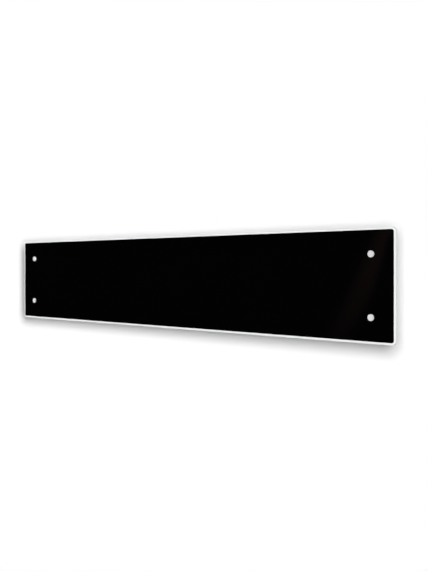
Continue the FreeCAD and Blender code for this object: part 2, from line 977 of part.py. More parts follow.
def tact_switches():
    top = skirt_bottom + tact_height
    switches = []
    for x, depth in button_places():
        body = box(around(x, tact_size), around(depth, tact_size), (skirt_bottom, top))
        ends = [plan(x, depth, z) for z in (top - tact_recess, top)]
        switches.append(body.cut(rod(button_stem_diameter / 2 + tact_recess_gap, *ends)))
    return group(switches)


def button(index):
    x, depth = button_places()[index]
    tip = skirt_bottom + tact_height - button_tip
    collar_top = panel_under - button_collar_gap
    collar_low = collar_top - button_collar
    top = panel_top + button_proud
    stem = button_stem_diameter / 2
    collar = button_collar_diameter / 2
    head = button_diameter / 2
    profile = [(0, tip), (stem, tip), (stem, collar_low), (collar, collar_low), (collar, collar_top),
               (head, collar_top), (head, top - button_edge), (head - button_edge, top), (0, top)]
    return turned(profile, plan(x, depth, 0), UP, X)


def button_minus():
    return button(0)


def button_ok():
    return button(1)


def button_plus():
    return button(2)


# Mains switch

def at_rocker(out, depth, up):
    return plan(rocker_x + out, depth, switch_rise + up)


def switch_frame():
    centre = (element_depth, switch_rise)
    front_x = casing_half + switch_flange
    flange = prism(side, rectangle(switch_flange_width, switch_flange_height, centre), switch_corner,
                   (casing_half, front_x))
    body = prism(side, rectangle(switch_body_width, switch_body_height, centre), switch_corner,
                 (casing_half - switch_body_length, casing_half))
    cavity = prism(side, rectangle(switch_cavity_width, switch_cavity_height, centre), switch_corner,
                   (front_x - switch_cavity_depth, front_x + overrun))
    reach = switch_cavity_width / 2 + rocker_pin_length
    bearing = rod(rocker_pin_diameter / 2 + pivot_gap, at_rocker(0, element_depth - reach, 0),
                  at_rocker(0, element_depth + reach, 0))
    return merged([flange, body]).cut(group([cavity, bearing]))


def switch_rocker():
    half_width = switch_cavity_width / 2 - rocker_side_gap
    shape = [(rocker_tip, rocker_half_height), (rocker_dip, 0), (rocker_tip, -rocker_half_height),
             (-rocker_foot, -rocker_foot_half), (-rocker_keel, 0), (-rocker_foot, rocker_foot_half)]
    corners = [at_rocker(out, element_depth - half_width, up) for out, up in shape]
    face = Part.Face(Part.makePolygon(corners + corners[:1]))
    block = face.extrude(ROOM * (2 * half_width))
    reach = half_width + rocker_pin_length
    pin_ends = [at_rocker(0, element_depth + offset, 0) for offset in (-reach, reach)]
    rocker = merged([block, rod(rocker_pin_diameter / 2, *pin_ends)])
    rocker.rotate(at_rocker(0, element_depth, 0), FreeCAD.Vector(0, 1, 0), rocker_rest_angle)
    return rocker


# Wall bracket and hinge

def hook_side():
    """The bracket arm seen from its end: a hook for the hinge pin below, a plain flange above."""
    floor = pivot_z - hook_floor
    lip = pivot_z + hook_lip
    entry = lip + hook_entry
    seat_front = pivot_depth + hook_radius
    seat_back = pivot_depth - hook_radius
    before = [(0, floor), (arm_front - arm_corner, floor), (arm_front, floor + arm_corner), (arm_front, lip),
              (seat_front, lip), (seat_front, pivot_z)]
    after = [(seat_back, pivot_z), (seat_back, entry), (arm_front, entry + hook_slope),
             (arm_front, arm_top - arm_corner), (arm_front - arm_corner, arm_top), (0, arm_top)]
    return before, (pivot_depth, pivot_z - hook_radius), after


def bracket_arm(x):
    half = (arm_width - arm_sheet) / 2
    middle = arm_sheet / 2
    section = [(x - half, arm_front), (x - half, middle), (x + half, middle), (x + half, arm_front)]
    low, high = pivot_z - hook_floor, arm_top
    channel = folded_sheet(plan, section, arm_sheet, arm_bend, (low, high))
    before, seat, after = hook_side()
    start = x - arm_width
    runs = [[side(depth, z, start) for depth, z in points] for points in (before, after)]
    edges = [Part.LineSegment(a, b).toShape() for run in runs for a, b in zip(run, run[1:])]
    edges.append(Part.Arc(runs[0][-1], side(*seat, start), runs[1][0]).toShape())
    edges.append(Part.LineSegment(runs[1][-1], runs[0][0]).toShape())
    shape = Part.Face(Part.Wire(Part.__sortEdges__(edges))).extrude(X * (2 * arm_width))
    holes = [rod(wall_screw_hole / 2, front(x, z, -overrun), front(x, z, arm_sheet + overrun))
             for z in around(0, wall_screw_spacing)]
    holes += [rod(rivet_diameter / 2 + fit_gap, front(x, z, -overrun), front(x, z, arm_sheet + overrun))
              for z in rivet_heights()]
    return channel.common(shape).cut(group(holes))


def bracket_arm_left():
    return bracket_arm(arm_xs[0])


def bracket_arm_right():
    return bracket_arm(arm_xs[1])


def bracket_rail():
    half = (rail_height - arm_sheet) / 2
    middle = arm_sheet / 2
    section = [(rail_depth, half), (middle, half), (middle, -half), (rail_depth, -half)]
    span = (arm_xs[0] + arm_width / 2, arm_xs[1] - arm_width / 2)
    return folded_sheet(side, section, arm_sheet, arm_bend, span)


def rivet_heights():
    foot_low = catch_z - catch_foot
    return [foot_low + share * catch_foot for share in rivet_places_share]


def catch_spring(x):
    base = arm_sheet + catch_sheet / 2
    hook = inside_back + catch_past_wall
    points = [(base, catch_z - catch_foot), (base, catch_z), (hook, catch_z), (hook, catch_z + catch_barb),
              (hook + catch_nose, catch_z)]
    spring = folded_sheet(side, points, catch_sheet, catch_bend, around(x, catch_width))
    reach = (arm_sheet - overrun, arm_sheet + catch_sheet + overrun)
    radius = rivet_diameter / 2 + fit_gap
    holes = [rod(radius, *[front(x, z, depth) for depth in reach]) for z in rivet_heights()]
    return spring.cut(group(holes))


def catch_spring_left():
    return catch_spring(arm_xs[0])


def catch_spring_right():
    return catch_spring(arm_xs[1])


def catch_rivets():
    seat = arm_sheet + catch_sheet
    return group([merged([rod(rivet_diameter / 2, front(x, z, rivet_sink), front(x, z, seat)),
                          rod(rivet_head_diameter / 2, front(x, z, seat), front(x, z, seat + rivet_head))])
                  for x in arm_xs for z in rivet_heights()])


def pivot_lug(x):
    low = casing_bottom + chamfer + lug_foot_gap
    high = low + lug_height
    pin_back = pivot_depth - lug_ear_radius
    pin_front = pivot_depth + lug_ear_radius
    start = x - lug_half
    tail = [(pin_back, pivot_z), (casing_back - lug_reach, high), (casing_back, high), (casing_back, low),
            (pin_front, pivot_z)]
    points = [side(depth, z, start) for depth, z in tail]
    edges = [Part.LineSegment(a, b).toShape() for a, b in zip(points, points[1:])]
    heel = side(pivot_depth, pivot_z - lug_ear_radius, start)
    edges.append(Part.Arc(points[-1], heel, points[0]).toShape())
    ear = Part.Face(Part.Wire(edges)).extrude(X * lug_sheet)
    other = ear.copy()
    other.translate(X * (2 * lug_half - lug_sheet))
    base = box(around(x, 2 * lug_half), (casing_back - lug_sheet, casing_back), (low, high))
    ends = [side(pivot_depth, pivot_z, x + reach) for reach in (-2 * lug_half, 2 * lug_half)]
    return merged([ear, other, base]).cut(rod(pivot_pin_radius + fit_gap, *ends))


def pivot_lug_left():
    return pivot_lug(arm_xs[0])


def pivot_lug_right():
    return pivot_lug(arm_xs[1])


def pivot_pins():
    reach = lug_half + pivot_pin_end
    ends = [[side(pivot_depth, pivot_z, x + offset) for offset in (-reach, reach)] for x in arm_xs]
    return group([rod(pivot_pin_radius, start, end) for start, end in ends])


def rear_bumpers():
    spread = (arm_width - arm_sheet) / 2
    return group([rod(bumper_diameter / 2, front(x + offset, bumper_z, casing_back),
                      front(x + offset, bumper_z, arm_front + bumper_gap))
                  for x in arm_xs for offset in (-spread, spread)])


def pieces():
    return {
        "front_glass": front_glass(),
        "cap_bolts": at_corners(cap_bolt),
        "glass_bushes": at_corners(glass_bush),
        "glass_gaskets": at_corners(glass_gasket),
        "standoff_posts": at_corners(standoff_post),
        "standoff_screws": at_corners(standoff_screw),
        "front_cover": front_cover(),
        "rear_casing": rear_casing(),
        "end_cap_left": end_cap_left(),
        "end_cap_right": end_cap_right(),
        "cover_screws": group([cover_screw(x, z) for x, z in cover_screw_places()]),
        "partition_plate": partition_plate(),
        "partition_grommets": partition_grommets(),
        "element_fins": element_fins(),
        "element_rod": element_rod(),
        "element_terminals": element_terminals(),
        "element_holder_left": element_holder_left(),
        "element_holder_right": element_holder_right(),
        "ceramic_bushes": ceramic_bushes(),
        "heat_shield": heat_shield(),
        "cutout_bracket": cutout_bracket(),
        "thermal_cutout": thermal_cutout(),
        "wire_feed": wire_feed(),
        "wire_link": wire_link(),
        "wire_return": wire_return(),
        "wire_mains": wire_mains(),
        "wire_earth": wire_earth(),
        "wire_clips": wire_clips(),
        "earth_screw": earth_screw(),
        "terminal_block": terminal_block(),
        "cable_gland": cable_gland(),
        "gland_nut": gland_nut(),
        "power_board": power_board(),
        "board_posts": board_posts(),
        "relay": relay(),
        "transformer": transformer(),
        "capacitor": capacitor(),
        "radio_module": radio_module(),
        "room_sensor": room_sensor(),
        "control_bezel": control_bezel(),
        "display_lens": display_lens(),
        "display_module": display_module(),
        "button_board": button_board(),
        "tact_switches": tact_switches(),
        "button_minus": button_minus(),
        "button_ok": button_ok(),
        "button_plus": button_plus(),
        "switch_frame": switch_frame(),
        "switch_rocker": switch_rocker(),
        "bracket_arm_left": bracket_arm_left(),
        "bracket_arm_right": bracket_arm_right(),
        "bracket_rail": bracket_rail(),
        "catch_spring_left": catch_spring_left(),
        "catch_spring_right": catch_spring_right(),
        "catch_rivets": catch_rivets(),
        "pivot_lug_left": pivot_lug_left(),
        "pivot_lug_right": pivot_lug_right(),
        "pivot_pins": pivot_pins(),
        "rear_bumpers": rear_bumpers(),
    }


os.makedirs("parts", exist_ok=True)
for name, shape in pieces().items():
    shape.exportStep(f"parts/{name}.step")
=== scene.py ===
import bmesh
import bpy
import json
import math
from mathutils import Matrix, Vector

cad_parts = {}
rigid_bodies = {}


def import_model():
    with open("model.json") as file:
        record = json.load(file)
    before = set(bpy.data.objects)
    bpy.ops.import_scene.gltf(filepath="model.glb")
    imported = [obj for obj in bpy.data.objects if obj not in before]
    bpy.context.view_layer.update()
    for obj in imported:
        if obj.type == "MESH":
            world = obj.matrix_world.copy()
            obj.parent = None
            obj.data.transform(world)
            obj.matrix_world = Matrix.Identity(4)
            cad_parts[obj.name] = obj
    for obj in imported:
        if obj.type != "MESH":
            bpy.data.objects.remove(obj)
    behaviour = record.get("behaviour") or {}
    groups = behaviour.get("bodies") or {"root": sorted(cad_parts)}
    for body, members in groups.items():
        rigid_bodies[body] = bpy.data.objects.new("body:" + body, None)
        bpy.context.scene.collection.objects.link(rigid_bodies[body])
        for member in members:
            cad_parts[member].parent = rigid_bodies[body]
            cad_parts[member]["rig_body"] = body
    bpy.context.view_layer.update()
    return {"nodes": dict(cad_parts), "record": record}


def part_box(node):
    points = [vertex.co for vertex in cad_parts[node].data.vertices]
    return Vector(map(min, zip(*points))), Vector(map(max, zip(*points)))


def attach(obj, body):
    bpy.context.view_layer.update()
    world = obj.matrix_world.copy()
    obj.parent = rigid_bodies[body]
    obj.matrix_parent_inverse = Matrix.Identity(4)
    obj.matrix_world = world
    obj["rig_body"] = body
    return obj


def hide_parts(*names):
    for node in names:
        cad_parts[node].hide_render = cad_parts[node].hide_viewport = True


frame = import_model()
nodes = frame["nodes"]
slots = {subpart["node"]: subpart["material_slot"] for subpart in frame["record"]["subparts"]}

# Glass, with its clear margin and its holes, in metres like every length here
GLASS_FRONT = -0.091
CORNER_RADIUS = 0.009
CORNER_STEPS = 14
MARGIN_WIDTH = 0.0043
MARGIN_FALL = 0.0004
GLASS_EDGE = 0.0003
GLASS_EDGE_STEPS = 2
HOLE_RADIUS = 0.0046
HOLE_SIDES = 48
CUTTER_LENGTH = 0.02
PRINT_DEPTH = 0.00001
GLASS_IOR = 1.52

# Caps, with dished tops made of rings, each with its width and how far it sinks
CAP_X = 0.525
CAP_Z = 0.060
CAP_RADIUS = 0.0065
CAP_SIDES = 96
CAP_EDGE = 0.00045
CAP_EDGE_STEPS = 4
CAP_RINGS = ((0.0011, 0), (0.0002, 0.00004), (0.0008, 0.00007), (0.0013, 0.00008), (0.0014, 0.00006))
SHANK_RADIUS = 0.0025

# Marks on the buttons and the rocker: places, and half of each stroke's length and width
BUTTON_XS = (0.495, 0.5065, 0.518)
BUTTON_Y = -0.0556
BUTTON_TOP = 0.0998
BUTTON_RING = 0.0013
ROCKER_Y = -0.0466
ROCKER_Z = 0.020
ROCKER_FACE = 0.5385
ROCKER_RING = 0.0014
ROCKER_MARK = 0.0045
STROKE_REACH = 0.0016
STROKE_WIDTH = 0.00028
RING_WIDTH = 0.00026

# Two figures in the display: level bars and upright posts, in half lengths and half widths
DISPLAY_X = 0.476
FIGURE_OFFSET = 0.0032
FIGURE_RISE = 0.0032
SEGMENT_WIDTH = 0.00035
BAR_REACH = 0.0015
POST_OFFSET = 0.00195
POST_MIDDLE = 0.0016
POST_REACH = 0.0012

# Earth lead's stripe
EARTH_X = 0.493
STRIPE_INSIDE = 0.00035
STRIPE_OUTSIDE = 0.00045

# Casing's long folds
FOLD_SIZE = 0.0012
FOLD_STEPS = 4
FOLD_SHORTEST = 0.3
FOLD_FLATTEST = 0.5

# What counts as one place, as a run through the glass, and as facing along y
TOUCH = 1e-6
GLASS_RUN = 0.001
FACING = 0.9
SQUARE = 0.999

# Width and steps of the rounding on each piece's sharp edges
EASED_EDGES = {
    "end_cap_left": (0.0007, 3),
    "end_cap_right": (0.0007, 3),
    "front_cover": (0.0003, 2),
    "control_bezel": (0.0004, 3),
    "display_lens": (0.0002, 2),
    "button_minus": (0.0004, 3),
    "button_ok": (0.0004, 3),
    "button_plus": (0.0004, 3),
    "switch_frame": (0.0004, 3),
    "switch_rocker": (0.0003, 3),
    "bracket_arm_left": (0.0004, 3),
    "bracket_arm_right": (0.0004, 3),
    "bracket_rail": (0.0004, 3),
    "catch_spring_left": (0.0001, 2),
    "catch_spring_right": (0.0001, 2),
    "catch_rivets": (0.0003, 3),
    "pivot_lug_left": (0.0003, 2),
    "pivot_lug_right": (0.0003, 2),
    "pivot_pins": (0.0004, 3),
    "rear_bumpers": (0.0010, 4),
    "cable_gland": (0.0003, 2),
    "gland_nut": (0.0003, 2),
    "room_sensor": (0.0004, 3),
    "cover_screws": (0.0002, 2),
}
EASED_ANGLE = math.radians(32)
FLAT_ANGLE = math.radians(0.5)


# Shading

class Signal:
    """One output of a node. Sums, products and tests of it add Math nodes."""

    def __init__(self, shading, output):
        self.shading = shading
        self.output = output

    def maths(self, operation, *terms):
        return self.shading.add("ShaderNodeMath", {"operation": operation}, dict(enumerate(terms)))

    def __add__(self, other):
        return self.maths("ADD", self, other)

    def __radd__(self, other):
        return self.maths("ADD", other, self)

    def __sub__(self, other):
        return self.maths("SUBTRACT", self, other)

    def __rsub__(self, other):
        return self.maths("SUBTRACT", other, self)

    def __mul__(self, other):
        return self.maths("MULTIPLY", self, other)

    def __rmul__(self, other):
        return self.maths("MULTIPLY", other, self)

    def __pow__(self, other):
        return self.maths("POWER", self, other)

    def __rpow__(self, other):
        return self.maths("POWER", other, self)

    def __lt__(self, other):
        return self.maths("LESS_THAN", self, other)

    def __gt__(self, other):
        return self.maths("GREATER_THAN", self, other)

    def __abs__(self):
        return self.maths("ABSOLUTE", self)

    def sine(self):
        return self.maths("SINE", self)

    def largest(self, other):
        return self.maths("MAXIMUM", self, other)


class Shading:
    """The nodes of one material, of a light or of the surroundings."""

    def __init__(self, tree):
        self.tree = tree

    def add(self, kind, settings, inputs, output=0):
        node = self.tree.nodes.new(kind)
        for name, value in settings.items():
            setattr(node, name, value)
        for key, value in inputs.items():
            if isinstance(value, Signal):
                self.tree.links.new(value.output, node.inputs[key])
            else:
                node.inputs[key].default_value = value
        return Signal(self, node.outputs[output])

    def link(self, signal, node, socket):
        self.tree.links.new(signal.output, self.tree.nodes[node].inputs[socket])

    def ray(self, what):
        return self.add("ShaderNodeLightPath", {}, {}, what)

    def place(self):
        return self.add("ShaderNodeTexCoord", {}, {}, "Object")

    def split(self, vector):
        outputs = self.add("ShaderNodeSeparateXYZ", {}, {0: vector}).output.node.outputs
        return [Signal(self, output) for output in outputs]

    def stretched(self, vector, factors):
        return self.add("ShaderNodeVectorMath", {"operation": "MULTIPLY"}, {0: vector, 1: factors})

    def noise(self, vector, scale=1.0, detail=3.0):
        return self.add("ShaderNodeTexNoise", {},
                        {"Vector": vector, "Scale": scale, "Detail": detail, "Roughness": 0.55})

    def cells(self, vector, scale=1.0, feature="F1"):
        return self.add("ShaderNodeTexVoronoi", {"feature": feature}, {"Vector": vector, "Scale": scale})

    def mix(self, factor, first, second):
        return self.add("ShaderNodeMix", {"data_type": "RGBA"}, {0: factor, 6: first, 7: second}, 2)

    def ease(self, value, low, high):
        return self.add("ShaderNodeMapRange", {"interpolation_type": "SMOOTHSTEP"},
                        {0: value, 1: low, 2: high})

    def bump(self, height, depth):
        return self.add("ShaderNodeBump", {}, {"Height": height, "Distance": depth, "Strength": 1.0})


class Finish(Shading):
    """A material around one Principled shader, with its constant settings set first."""

    def __init__(self, name, constants):
        self.material = bpy.data.materials.new(name)
        self.material.use_nodes = True
        super().__init__(self.material.node_tree)
        self.shader = self.tree.nodes["Principled BSDF"]
        for socket, value in constants.items():
            self.shader.inputs[socket].default_value = value

    def feed(self, socket, signal):
        self.link(signal, self.shader.name, socket)

    def print_over(self, marks, colour):
        """Print marks in another colour over the colour fed so far."""
        ground = Signal(self, self.shader.inputs["Base Color"].links[0].from_socket)
        self.feed("Base Color", self.mix(marks, ground, colour))


def grey(level):
    return (level, level, level, 1.0)


def reach(across, along):
    """Distance by the offsets in two directions."""
    return (across * across + along * along) ** 0.5


def black_print():
    """Gloss black enamel seen through clear glass, with a trace of dust and wiping."""
    enamel, dusty = (0.0003, 0.0003, 0.0004, 1), grey(0.008)
    finish = Finish("black printed glass", {"IOR": GLASS_IOR})
    place = finish.place()
    wiping = finish.noise(finish.stretched(place, (3.0, 1.0, 14.0)), scale=9.0, detail=4.0)
    dust = finish.cells(place, scale=900.0) < 0.06
    clouds = finish.noise(place, scale=5.0)
    finish.feed("Base Color", finish.mix(dust * 0.25 + clouds * 0.05, enamel, dusty))
    finish.feed("Roughness", wiping * 0.035 + dust * 0.25 + 0.012)
    return finish.material


def ground_margin():
    """The clear margin, ground to a pale satin."""
    pale, shaded = (0.87, 0.875, 0.875, 1), (0.80, 0.81, 0.815, 1)
    finish = Finish("ground glass margin", {"IOR": GLASS_IOR, "Specular IOR Level": 0.3})
    place = finish.place()
    grain = finish.noise(place, scale=2600.0, detail=2.0)
    clouds = finish.noise(place, scale=30.0)
    finish.feed("Base Color", finish.mix(clouds * 0.6 + grain * 0.3, pale, shaded))
    finish.feed("Roughness", grain * 0.25 + 0.38)
    finish.feed("Normal", finish.bump(grain, depth=0.00002))
    return finish.material


def polished_edge():
    """The glass's own edge, faintly green, with the lines of the grinding wheel."""
    green, pale = (0.50, 0.555, 0.54, 1), (0.60, 0.64, 0.63, 1)
    finish = Finish("polished glass edge", {"IOR": GLASS_IOR})
    place = finish.place()
    lines = finish.noise(finish.stretched(place, (1.0, 4000.0, 1.0)), detail=2.0)
    clouds = finish.noise(place, scale=120.0)
    finish.feed("Base Color", finish.mix(clouds, green, pale))
    finish.feed("Roughness", lines * 0.12 + 0.14)
    finish.feed("Normal", finish.bump(lines, depth=0.00001))
    return finish.material


def back_enamel():
    """The fired enamel on the back of the glass."""
    finish = Finish("back enamel", {})
    place = finish.place()
    grain = finish.noise(place, scale=1800.0, detail=2.0)
    streaks = finish.noise(finish.stretched(place, (2.0, 1.0, 60.0)), scale=6.0)
    finish.feed("Base Color", finish.mix(streaks, grey(0.010), grey(0.022)))
    finish.feed("Roughness", grain * 0.2 + 0.5)
    finish.feed("Normal", finish.bump(grain, depth=0.00001))
    return finish.material


def satin_steel():
    """Stainless steel with the fine rings of the lathe round each cap's own centre, and a painted highlight
    that makes each cap's centre brighter and its rim duller.
    """
    bright, dull = (1.0, 0.978, 0.97, 1), (0.90, 0.88, 0.874, 1)
    finish = Finish("spun satin steel", {"Metallic": 0.5})
    place = finish.place()
    x, _, z = finish.split(place)
    radius = reach(abs(x) - CAP_X, abs(z) - CAP_Z)
    rings = (radius * 26000.0).sine() * 0.5 + finish.noise(place, scale=1400.0) * 0.5
    # Painted highlight: the colour runs from bright at each cap's centre to dull towards its rim.
    painted_centre_highlight = finish.ease(radius, low=0.0020, high=0.0050)
    finish.feed("Base Color", finish.mix(painted_centre_highlight * 0.55 + rings * 0.25, bright, dull))
    finish.feed("Roughness", rings * 0.10 + 0.50)
    finish.feed("Normal", finish.bump(rings, depth=0.000012))
    return finish.material


def powder_coat():
    """White powder coat with a fine orange peel."""
    white, shaded = (0.85, 0.85, 0.838, 1), (0.80, 0.80, 0.786, 1)
    finish = Finish("white powder coat", {"IOR": 1.48})
    place = finish.place()
    peel = finish.noise(place, scale=1500.0, detail=2.0)
    clouds = finish.noise(place, scale=14.0)
    finish.feed("Base Color", finish.mix(clouds * 0.7 + peel * 0.3, white, shaded))
    finish.feed("Roughness", peel * 0.16 + 0.34)
    finish.feed("Normal", finish.bump(peel, depth=0.00004))
    return finish.material


def plated_sheet(name, colour, worn, spangle):
    """Plated steel sheet: pale crystals, rolling lines and a little dulling."""
    finish = Finish(name, {"Metallic": 1.0})
    place = finish.place()
    crystals = finish.cells(place, scale=spangle)
    lines = finish.noise(finish.stretched(place, (400.0, 400.0, 12.0)), detail=2.0)
    dull = finish.noise(place, scale=40.0)
    finish.feed("Base Color", finish.mix(crystals * 0.5 + dull * 0.5, colour, worn))
    finish.feed("Roughness", lines * 0.14 + dull * 0.16 + 0.24)
    finish.feed("Normal", finish.bump(lines, depth=0.00001))
    return finish.material


def mill_aluminium():
    """Aluminium as it leaves the mill, with drawing lines along its length."""
    bright, dulled = (0.86, 0.865, 0.87, 1), (0.72, 0.73, 0.74, 1)
    finish = Finish("mill aluminium", {"Metallic": 1.0})
    place = finish.place()
    lines = finish.noise(finish.stretched(place, (6.0, 1500.0, 1500.0)), detail=2.0)
    dull = finish.noise(place, scale=60.0)
    finish.feed("Base Color", finish.mix(dull, bright, dulled))
    finish.feed("Roughness", lines * 0.18 + 0.24)
    finish.feed("Normal", finish.bump(lines, depth=0.00001))
    return finish.material


def toned_steel(name, cool, warm, roughness):
    """Steel with a blue or straw tone that drifts over it."""
    finish = Finish(name, {"Metallic": 1.0})
    place = finish.place()
    drift = finish.noise(finish.stretched(place, (30.0, 60.0, 60.0)))
    lines = finish.noise(finish.stretched(place, (40.0, 900.0, 900.0)), detail=2.0)
    finish.feed("Base Color", finish.mix(drift, cool, warm))
    finish.feed("Roughness", lines * 0.16 + roughness)
    finish.feed("Normal", finish.bump(lines, depth=0.000008))
    return finish.material


def moulded(name, colour, worn, roughness, grain_scale, grain_depth):
    """Moulded plastic, rubber or ceramic with the grain of its mould."""
    finish = Finish(name, {})
    place = finish.place()
    grain = finish.noise(place, scale=grain_scale, detail=2.0)
    clouds = finish.noise(place, scale=45.0)
    finish.feed("Base Color", finish.mix(clouds * 0.6 + grain * 0.4, colour, worn))
    finish.feed("Roughness", grain * 0.18 + clouds * 0.08 + roughness)
    finish.feed("Normal", finish.bump(grain, grain_depth))
    return finish


def striped_lead():
    """Green earth lead with a yellow stripe along it."""
    yellow, green = (0.75, 0.62, 0.03, 1), (0.03, 0.22, 0.05, 1)
    finish = Finish("earth lead", {"Roughness": 0.42})
    place = finish.place()
    x, _, _ = finish.split(place)
    beside = finish.ease(abs(x - EARTH_X), STRIPE_INSIDE, STRIPE_OUTSIDE)
    fleck = finish.noise(place, scale=700.0)
    finish.feed("Base Color", finish.mix(beside * (fleck * 0.1 + 0.9), yellow, green))
    finish.feed("Normal", finish.bump(fleck, depth=0.00002))
    return finish.material


def stroke(along, across):
    return (along < STROKE_REACH) * (across < STROKE_WIDTH)


def ring(distance, radius):
    return abs(distance - radius) < RING_WIDTH


def marked_buttons():
    """Satin buttons with a pale minus, ring and plus on their tops."""
    finish = moulded("button plastic", grey(0.050), grey(0.075), roughness=0.36,
                     grain_scale=2600.0, grain_depth=0.000012)
    x, y, z = finish.split(finish.place())
    along = abs(y - BUTTON_Y)
    left, centre, right = [abs(x - button) for button in BUTTON_XS]
    plus = stroke(right, along).largest(stroke(along, right))
    marks = stroke(left, along).largest(ring(reach(centre, along), BUTTON_RING)).largest(plus)
    finish.print_over(marks * (z > BUTTON_TOP), grey(0.72))
    return finish.material


def marked_rocker():
    """Gloss rocker with a pale bar and ring on its two ends."""
    finish = moulded("rocker plastic", grey(0.022), grey(0.034), roughness=0.20,
                     grain_scale=1800.0, grain_depth=0.000006)
    x, y, z = finish.split(finish.place())
    along = abs(y - ROCKER_Y)
    bar = stroke(abs(z - (ROCKER_Z + ROCKER_MARK)), along)
    circle = ring(reach(z - (ROCKER_Z - ROCKER_MARK), along), ROCKER_RING)
    finish.print_over(bar.largest(circle) * (x > ROCKER_FACE), grey(0.75))
    return finish.material


def smoked_window():
    """Smoked display window with the unlit segments of two figures faint behind it."""
    smoke, smeared, unlit = (0.004, 0.004, 0.005, 1), (0.008, 0.008, 0.010, 1), (0.085, 0.090, 0.085, 1)
    finish = Finish("smoked window", {"IOR": 1.49, "Coat Weight": 0.3})
    place = finish.place()
    x, y, _ = finish.split(place)
    smear = finish.noise(finish.stretched(place, (20.0, 60.0, 20.0)), scale=3.0)
    across = abs(abs(x - DISPLAY_X) - FIGURE_OFFSET)
    along = abs(y - BUTTON_Y)
    levels = (along < SEGMENT_WIDTH).largest(abs(along - FIGURE_RISE) < SEGMENT_WIDTH)
    posts = (abs(across - POST_OFFSET) < SEGMENT_WIDTH) * (abs(along - POST_MIDDLE) < POST_REACH)
    finish.feed("Base Color", finish.mix(smear, smoke, smeared))
    finish.print_over((levels * (across < BAR_REACH)).largest(posts), unlit)
    finish.feed("Roughness", smear * 0.06 + 0.04)
    return finish.material


def circuit_board():
    """Green solder mask over copper tracks."""
    raised, sunk = (0.030, 0.150, 0.070, 1), (0.012, 0.085, 0.040, 1)
    finish = Finish("circuit board", {"IOR": 1.5})
    place = finish.place()
    tracks = finish.cells(finish.stretched(place, (260.0, 260.0, 180.0)), feature="DISTANCE_TO_EDGE")
    fleck = finish.noise(place, scale=900.0)
    copper = finish.ease(tracks, low=0.05, high=0.09)
    finish.feed("Base Color", finish.mix(copper, raised, sunk))
    finish.feed("Roughness", fleck * 0.12 + 0.26)
    finish.feed("Normal", finish.bump(copper, depth=0.00003))
    return finish.material


# Modelling

def take_up(*pieces):
    """Select these pieces alone, with the first one active."""
    bpy.ops.object.select_all(action="DESELECT")
    for piece in pieces:
        piece.select_set(True)
    bpy.context.view_layer.objects.active = pieces[0]


def pick(kind, test):
    """Select the edges or faces in edit mode that a test accepts."""
    bpy.ops.mesh.select_mode(type=kind)
    bpy.ops.mesh.select_all(action="DESELECT")
    mesh = bpy.context.edit_object.data
    form = bmesh.from_edit_mesh(mesh)
    for item in {"EDGE": form.edges, "FACE": form.faces}[kind]:
        if test(item):
            item.select_set(True)
    form.select_flush_mode()
    bmesh.update_edit_mesh(mesh)


def run(edge):
    return edge.verts[1].co - edge.verts[0].co


def lies_at(edge, y):
    """Whether an edge lies square to y, at this place."""
    middle = (edge.verts[0].co + edge.verts[1].co) / 2
    return abs(run(edge).y) < TOUCH and abs(middle.y - y) < TOUCH


def settled(name):
    """Name the piece just added, and put its place into its mesh."""
    bpy.ops.object.transform_apply(location=True, rotation=True, scale=True)
    piece = bpy.context.object
    piece.name = name
    piece.data.name = name
    return piece


def worked(piece, kind, settings):
    """Add a modifier to the active piece, and apply it."""
    bpy.ops.object.modifier_add(type=kind)
    modifier = piece.modifiers[-1]
    for name, value in settings.items():
        setattr(modifier, name, value)
    bpy.ops.object.modifier_apply(modifier=modifier.name)


def cut_away(piece, cutters):
    """Cut the cutters' forms out of a piece, and remove the cutters."""
    take_up(*cutters)
    bpy.ops.object.join()
    cutter = bpy.context.object
    take_up(piece)
    worked(piece, "BOOLEAN", {"operation": "DIFFERENCE", "object": cutter})
    bpy.data.objects.remove(cutter)


def soften(piece, degrees):
    """Smooth shading up to an angle, with flat faces kept flat."""
    take_up(piece)
    bpy.ops.object.shade_smooth_by_angle(angle=math.radians(degrees))
    worked(piece, "WEIGHTED_NORMAL", {"keep_sharp": True, "weight": 90})
    worked(piece, "TRIANGULATE", {"ngon_method": "BEAUTY", "min_vertices": 5, "keep_custom_normals": True})


def merge_flat_faces():
    """Join the active piece's faces that lie in one plane."""
    bpy.ops.object.mode_set(mode="EDIT")
    bpy.ops.mesh.select_all(action="SELECT")
    bpy.ops.mesh.dissolve_limited(angle_limit=FLAT_ANGLE)
    bpy.ops.object.mode_set(mode="OBJECT")


def corner_places():
    return [(x, z) for x in (-CAP_X, CAP_X) for z in (-CAP_Z, CAP_Z)]


def round_bar(sides, radius, length, place, name):
    """A round bar that lies along y."""
    bpy.ops.object.select_all(action="DESELECT")
    bpy.ops.mesh.primitive_cylinder_add(vertices=sides, radius=radius, depth=length,
                                        location=place, rotation=(math.pi / 2, 0, 0))
    return settled(name)


